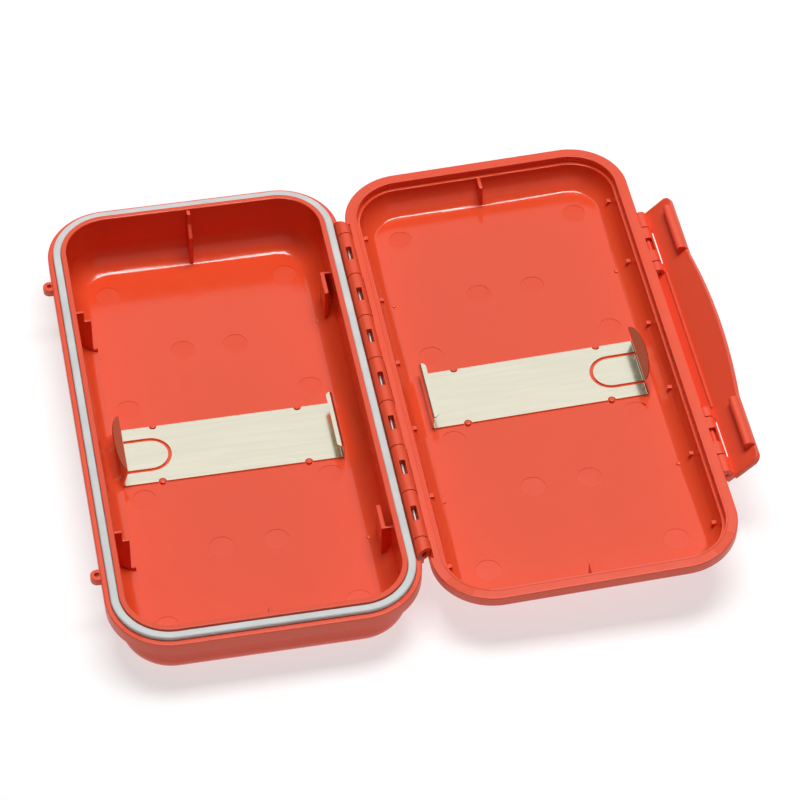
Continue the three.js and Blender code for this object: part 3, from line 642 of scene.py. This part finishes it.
def hinge_rod():
    low, high = (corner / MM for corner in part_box("hinge_rod"))
    return smooth(bar("hinge_pin", Matrix(), HINGE["rod"], (low.y, high.y), hinge_at.x, hinge_at.z))


def latch_pin(node):
    low, high = (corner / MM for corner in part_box(node))
    return smooth(bar(node + "_moulding", Matrix(), LATCH["pin"], (low.y, high.y), latch_at.x, latch_at.z))


# ------------------------------------------------------------------ spring strips


def strip_flat(bm):
    """The strip's flat pattern along u: tab end below zero, lipped end above, notches and U slot cut out."""
    half, width = STRIP["half"], STRIP["width"] / 2
    notch, radius = STRIP["notch"], STRIP["notch_radius"]
    slant = math.hypot(STRIP["tab_reach"], STRIP["tab_rise"])
    tab_from = -STRIP["tongue"] - UPRIGHT_LENGTH
    end = half + STRIP["lip_upright"] + STRIP["lip"]
    chamfer = STRIP["chamfer"]

    def notched(side):
        points = []
        for x in (-notch, notch):
            points += [(x + radius * math.cos(a), side * (width - radius * math.sin(a)))
                       for a in (math.pi - math.pi * i / 10 for i in range(11))]
        return points
    lower = [(tab_from, -width)] + notched(-1) + [(end - chamfer, -width), (end, -width + chamfer)]
    upper = [(end, width - chamfer), (end - chamfer, width)] + notched(1)[::-1] + [(tab_from, width)]
    tab = [(tab_from - slant * math.sin(a), (width - STRIP["tab_shoulder"]) * math.cos(a))
           for a in (math.pi * i / 24 for i in range(1, 24))]
    outline = [bm.verts.new((u, v, 0)) for u, v in lower + upper + tab]
    bm.faces.new(outline)


def slot_tool(name):
    """The U-shaped slot as a thick cutter on the flat pattern."""
    straight, rounded = STRIP["straight"], STRIP["round"]
    start = -STRIP["tongue"] - STRIP["slot_rise"]

    def loop(offset):
        reach = straight - rounded + offset
        half = STRIP["slot_half"] + offset
        bend = [(-straight + reach * math.sin(a), -half * math.cos(a))
                for a in (math.pi * i / 28 for i in range(29))]
        return [(start, -half)] + bend + [(start, half)]
    outline = loop(STRIP["slot"] / 2) + loop(-STRIP["slot"] / 2)[::-1]
    return prism(name, Matrix(), outline, (-2, 2))


def bend_path(radius=0.9, step=0.05, past=16):
    """Where each step along the flat pattern ends up, as x, z and direction, from the middle outwards."""
    half, tongue = STRIP["half"], STRIP["tongue"]
    flare = math.atan2(STRIP["tab_rise"], STRIP["tab_reach"])
    steep = math.pi / 2 + math.atan2(STRIP["lean"], STRIP["upright"])
    bends_right = [(half, math.pi / 2), (half + STRIP["lip_upright"], math.pi / 2)]
    bends_left = [(tongue, steep), (tongue + UPRIGHT_LENGTH, flare - steep)]
    paths = {}
    for way, bends in ((1, bends_right), (-1, bends_left)):
        x = z = angle = 0.0
        points = [(x, z, angle)]
        for i in range(1, int((half + past) / step)):
            u = i * step
            for at, turn in bends:
                if abs(u - at) < radius * abs(turn) / 2:
                    angle += step / radius * math.copysign(1, turn)
            x += step * math.cos(angle)
            z += step * math.sin(angle)
            points.append((x, z, angle))
        paths[way] = points
    return paths, step


def around(middle, count, step):
    return [middle + d * step for d in range(-count, count + 1)]


def cut_across(bm):
    """Cuts the flat pattern across, closely at its bends and every 4 mm between them."""
    half, tongue = STRIP["half"], STRIP["tongue"]
    stations = around(half, 8, 0.12) + around(half + STRIP["lip_upright"], 8, 0.12)
    stations += around(-tongue, 9, 0.12) + around(-tongue - UPRIGHT_LENGTH, 8, 0.1)
    for u in stations + around(0, 9, 4.0):
        bmesh.ops.bisect_plane(bm, geom=list(bm.verts) + list(bm.edges) + list(bm.faces), dist=1e-5,
                               plane_co=(u, 0, 0), plane_no=(1, 0, 0))


def bend(bm):
    """Moves the flat pattern's points to where they are on the bent strip."""
    paths, step = bend_path()
    for vert in bm.verts:
        way = 1 if vert.co.x >= 0 else -1
        spot = abs(vert.co.x) / step
        i = min(int(spot), len(paths[way]) - 2)
        t = spot - i
        x, z, angle = (a + (b - a) * t for a, b in zip(paths[way][i], paths[way][i + 1]))
        height = vert.co.z
        vert.co = Vector((way * (x - height * math.sin(angle)), vert.co.y, z + height * math.cos(angle)))


def spring_strip(name, matrix, side):
    """A strip bent up from its flat pattern; side is -1 where the tab end lies towards -X."""
    flat = new_mesh(name, Matrix(), strip_flat)
    thicken = flat.modifiers.new("thick", "SOLIDIFY")
    thicken.thickness = STRIP["thick"] * MM
    thicken.offset = 0
    apply_modifiers(flat)
    boolean(flat, [slot_tool("slot")], "DIFFERENCE")
    bm = bmesh.new()
    bm.from_mesh(flat.data)
    bm.transform(Matrix.Scale(1 / MM, 4))
    cut_across(bm)
    bend(bm)
    turn = Matrix.Identity(4) if side < 0 else Matrix.Rotation(math.pi, 4, "Z")
    bm.transform(Matrix.Scale(MM, 4) @ matrix @ turn)
    bm.to_mesh(flat.data)
    bm.free()
    return smooth(flat)


# ------------------------------------------------------------------ materials


def srgb(red, green, blue):
    """A display colour, 0 to 255, as the linear value that shaders use."""
    return tuple((c / 255 / 12.92) if c / 255 <= 0.04045 else ((c / 255 + 0.055) / 1.055) ** 2.4
                 for c in (red, green, blue)) + (1.0,)


class Nodes:
    """A small wrapper that makes shader nodes and links them."""

    def __init__(self, name):
        self.material = bpy.data.materials.new(name)
        self.material.use_nodes = True
        self.tree = self.material.node_tree
        self.shader = self.tree.nodes["Principled BSDF"]

    def add(self, kind, **values):
        node = self.tree.nodes.new(kind)
        for key, value in values.items():
            if key in node.inputs:
                node.inputs[key].default_value = value
            else:
                setattr(node, key, value)
        return node

    def link(self, source, target):
        self.tree.links.new(source, target)

    def noise(self, scale, detail=3.0, stretch=None):
        place = self.add("ShaderNodeTexCoord").outputs["Object"]
        if stretch:
            mapping = self.add("ShaderNodeMapping")
            mapping.inputs["Scale"].default_value = stretch
            self.link(place, mapping.inputs["Vector"])
            place = mapping.outputs["Vector"]
        node = self.add("ShaderNodeTexNoise", Scale=scale, Detail=detail)
        self.link(place, node.inputs["Vector"])
        return node.outputs["Fac"]

    def ramp(self, value, low, high, out_low, out_high):
        node = self.add("ShaderNodeMapRange")
        for key, number in zip(("From Min", "From Max", "To Min", "To Max"), (low, high, out_low, out_high)):
            node.inputs[key].default_value = number
        self.link(value, node.inputs["Value"])
        return node.outputs["Result"]

    def mix(self, factor, first, second):
        node = self.add("ShaderNodeMix", data_type="RGBA")
        node.inputs["A"].default_value = first
        node.inputs["B"].default_value = second
        self.link(factor, node.inputs["Factor"])
        return node.outputs["Result"]

    def bump(self, height, strength, distance, after=None):
        node = self.add("ShaderNodeBump", Strength=strength, Distance=distance)
        self.link(height, node.inputs["Height"])
        if after:
            self.link(after, node.inputs["Normal"])
        return node.outputs["Normal"]


def plastic(name, colour, roughness, grain, sheen=0.5):
    """Orange moulded plastic: faint flow streaks, fine mould grain and a slightly uneven gloss."""
    n = Nodes(name)
    deep = tuple(c * 0.93 for c in colour[:3]) + (1.0,)
    streaks = n.ramp(n.noise(14, 4, (1, 0.35, 1)), 0.3, 0.7, 0, 1)
    n.link(n.mix(streaks, deep, colour), n.shader.inputs["Base Color"])
    gloss = n.ramp(n.noise(160, 4), 0.3, 0.7, roughness - 0.05, roughness + 0.05)
    n.link(gloss, n.shader.inputs["Roughness"])
    waves = n.bump(n.noise(35, 2), 0.08, 0.0002)
    n.link(n.bump(n.noise(2600, 3), grain, 0.00004, waves), n.shader.inputs["Normal"])
    n.shader.inputs["Specular IOR Level"].default_value = sheen
    return n.material


def silicone(name):
    n = Nodes(name)
    blotches = n.ramp(n.noise(90, 4), 0.3, 0.7, 0, 1)
    n.link(n.mix(blotches, srgb(196, 200, 198), srgb(212, 216, 214)), n.shader.inputs["Base Color"])
    n.link(n.ramp(n.noise(400, 3), 0.3, 0.7, 0.48, 0.62), n.shader.inputs["Roughness"])
    n.link(n.bump(n.noise(1800, 3), 0.3, 0.00003), n.shader.inputs["Normal"])
    return n.material


def steel(name, colour, roughness, stretch, metallic=1.0):
    """Stainless steel with fine lines along one direction, which also make its tint and gloss uneven."""
    n = Nodes(name)
    lines = n.noise(900, 5, stretch)
    tint = tuple(c * 0.965 for c in colour[:3]) + (1.0,)
    n.link(n.mix(n.ramp(lines, 0.35, 0.65, 0, 1), tint, colour), n.shader.inputs["Base Color"])
    n.link(n.ramp(lines, 0.3, 0.7, roughness - 0.02, roughness + 0.03), n.shader.inputs["Roughness"])
    n.link(n.bump(lines, 0.03, 0.00002), n.shader.inputs["Normal"])
    n.shader.inputs["Metallic"].default_value = metallic
    return n.material


ORANGE = (0.84, 0.079, 0.024, 1.0)
outside_plastic = plastic("orange_plastic_satin", ORANGE, 0.38, 0.25)
inside_plastic = plastic("orange_plastic_gloss", ORANGE, 0.17, 0.05, 0.62)
mark_plastic = plastic("orange_plastic_mark", (0.80, 0.068, 0.016, 1.0), 0.4, 0.1)
flap_material = plastic("orange_flap", (0.88, 0.085, 0.032, 1.0), 0.42, 0.3)
silicone_material = silicone("silicone")
strip_material = steel("brushed_strip", (0.82, 0.78, 0.635, 1.0), 0.2, (0.04, 1, 1))
# Painted reflection: the tab's orange-red colour stands for the orange tray mirrored in the bent steel, not
# a tint of the steel itself.
tab_reflection_material = steel("strip_tab_painted_reflection", (0.62, 0.135, 0.07, 1.0), 0.35, (0.04, 1, 1), 0.35)
rod_material = steel("drawn_rod", (0.74, 0.73, 0.72, 1.0), 0.3, (1, 0.05, 1))


OVER_TRAY = Vector((0, 0, 40))  # a point that the faces of a tray's hollow look towards


def paint_inside(piece, matrix, size, inset, floor, marks):
    """Gives the faces that look into a tray's hollow the glossy material, and its marks their own."""
    place = (Matrix.Scale(MM, 4) @ matrix).inverted()
    turn = place.to_3x3().normalized()
    piece.data.materials.append(inside_plastic)
    piece.data.materials.append(mark_plastic)
    half = Vector((size["width"] / 2 - inset, size["length"] / 2 - inset))
    for face in piece.data.polygons:
        centre = place @ face.center
        normal = turn @ face.normal
        within = abs(centre.x) < half.x and abs(centre.y) < half.y
        if within and normal.dot(OVER_TRAY - centre) > 0:
            face.material_index = 1
        sunk = floor - 2 * MARK_DEPTH < centre.z < floor - MARK_DEPTH / 2
        if sunk and any(math.dist(mark, centre.xy) < MARK_RADIUS + 0.1 for mark in marks):
            face.material_index = 2


def paint_tab_reflection(piece, matrix, side):
    """Gives the upper face of a strip's half-moon tab the steel with the orange tray's reflection painted
    into its colour.
    """
    place = (Matrix.Scale(MM, 4) @ matrix).inverted()
    turn = place.to_3x3().normalized()
    piece.data.materials.append(tab_reflection_material)
    slope = Vector((-side * STRIP["tab_rise"], 0, STRIP["tab_reach"])).normalized()
    for face in piece.data.polygons:
        outwards = side * (place @ face.center).x > STRIP["tongue"] - STRIP["lean"]
        if outwards and slope.dot(turn @ face.normal) > 0.95:
            face.material_index = 1


def finish_piece(piece, material, body, node):
    piece.data.materials.clear()
    piece.data.materials.append(material)
    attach(piece, body)
    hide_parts(node)
    return piece


tray_piece = finish_piece(base_shell(), outside_plastic, "base", "base_shell")
paint_inside(tray_piece, base_frame, BASE, BASE["inner_from"], WALL, BASE_MARKS)
cover_piece = finish_piece(lid_shell(), outside_plastic, "lid", "lid_shell")
paint_inside(cover_piece, lid_frame, LID, LID["rim"] + 0.2, -LID["depth"], LID_MARKS)
finish_piece(latch_flap(), flap_material, "latch", "latch_flap")
finish_piece(hinge_rod(), rod_material, "base", "hinge_rod")
for pin_node in ("latch_pin_rear", "latch_pin_front"):
    finish_piece(latch_pin(pin_node), flap_material, "lid", pin_node)
strip_lift = STRIP["gap"] + STRIP["thick"] / 2
base_strip_frame = base_frame @ Matrix.Translation((*STRIP["base"], WALL + strip_lift))
strip_piece = finish_piece(spring_strip("base_spring_strip", base_strip_frame, -1),
                           strip_material, "base", "base_strip")
paint_tab_reflection(strip_piece, base_strip_frame, -1)
lid_strip_frame = lid_frame @ Matrix.Translation((*STRIP["lid"], strip_lift - LID["depth"]))
strip_piece = finish_piece(spring_strip("lid_spring_strip", lid_strip_frame, 1),
                           strip_material, "lid", "lid_strip")
paint_tab_reflection(strip_piece, lid_strip_frame, 1)
ring_piece = finish_piece(gasket(), silicone_material, "base", "gasket")
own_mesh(ring_piece)

# ------------------------------------------------------------------ floor, light and camera

FLOOR_HALF = 3.0  # metres
FLOOR_Z = -0.05  # millimetres, just under the case


def floor():
    half = FLOOR_HALF / MM
    piece = new_mesh("floor", Matrix(), lambda bm: bm.faces.new(
        [bm.verts.new((x * half, y * half, FLOOR_Z)) for x, y in ((-1, -1), (1, -1), (1, 1), (-1, 1))]))
    n = Nodes("white_floor")
    n.link(n.mix(n.noise(3, 2), (0.40, 0.40, 0.40, 1), (0.42, 0.42, 0.42, 1)), n.shader.inputs["Base Color"])
    n.shader.inputs["Emission Color"].default_value = (1, 1, 1, 1)
    n.shader.inputs["Emission Strength"].default_value = 0.62
    n.shader.inputs["Roughness"].default_value = 0.9
    n.shader.inputs["Specular IOR Level"].default_value = 0.1
    piece.data.materials.append(n.material)


def area_light(name, place, target, size, power, colour=(1, 1, 1)):
    data = bpy.data.lights.new(name, "AREA")
    data.shape = "RECTANGLE"
    data.size, data.size_y = size
    data.energy = power
    data.color = colour
    light = bpy.data.objects.new(name, data)
    bpy.context.scene.collection.objects.link(light)
    light.location = place
    light.rotation_mode = "QUATERNION"
    light.rotation_quaternion = (Vector(target) - Vector(place)).to_track_quat("-Z", "Y")
    return light


def world(strength):
    sky = bpy.data.worlds.new("studio")
    bpy.context.scene.world = sky
    sky.use_nodes = True
    sky.node_tree.nodes["Background"].inputs["Color"].default_value = (1, 1, 1, 1)
    sky.node_tree.nodes["Background"].inputs["Strength"].default_value = strength


CAMERA_PLACE = base_frame @ Vector((-94.184, -731.63, 864.073)) * MM
CAMERA_TARGET = base_frame @ Vector((59.03, -8.691, 22.36)) * MM
CAMERA_ROLL = math.radians(1.483)
LENS = 145.68


def camera():
    data = bpy.data.cameras.new("camera")
    data.sensor_width = 36
    data.lens = LENS
    data.clip_start = 0.05
    data.dof.use_dof = False
    piece = bpy.data.objects.new("camera", data)
    bpy.context.scene.collection.objects.link(piece)
    piece.location = CAMERA_PLACE
    piece.rotation_mode = "QUATERNION"
    aim = (CAMERA_TARGET - CAMERA_PLACE).to_track_quat("-Z", "Y")
    piece.rotation_quaternion = aim @ Matrix.Rotation(CAMERA_ROLL, 3, "Z").to_quaternion()
    bpy.context.scene.camera = piece


floor()
area_light("overhead", (0.2, 0.35, 2.4), (0.2, 0.35, 0), (1.5, 0.8), 58)
card = area_light("back_card", (0.3, 1.7, 1.4), (0, 0, 0.1), (3.2, 2.2), 19)
card.visible_diffuse = False
front_card = area_light("front_card", (-0.1, -1.9, 1.3), (0, 0, 0.1), (3.2, 1.8), 4)
front_card.visible_diffuse = False
world(0.06)
camera()
bpy.context.scene.view_settings.view_transform = "Standard"
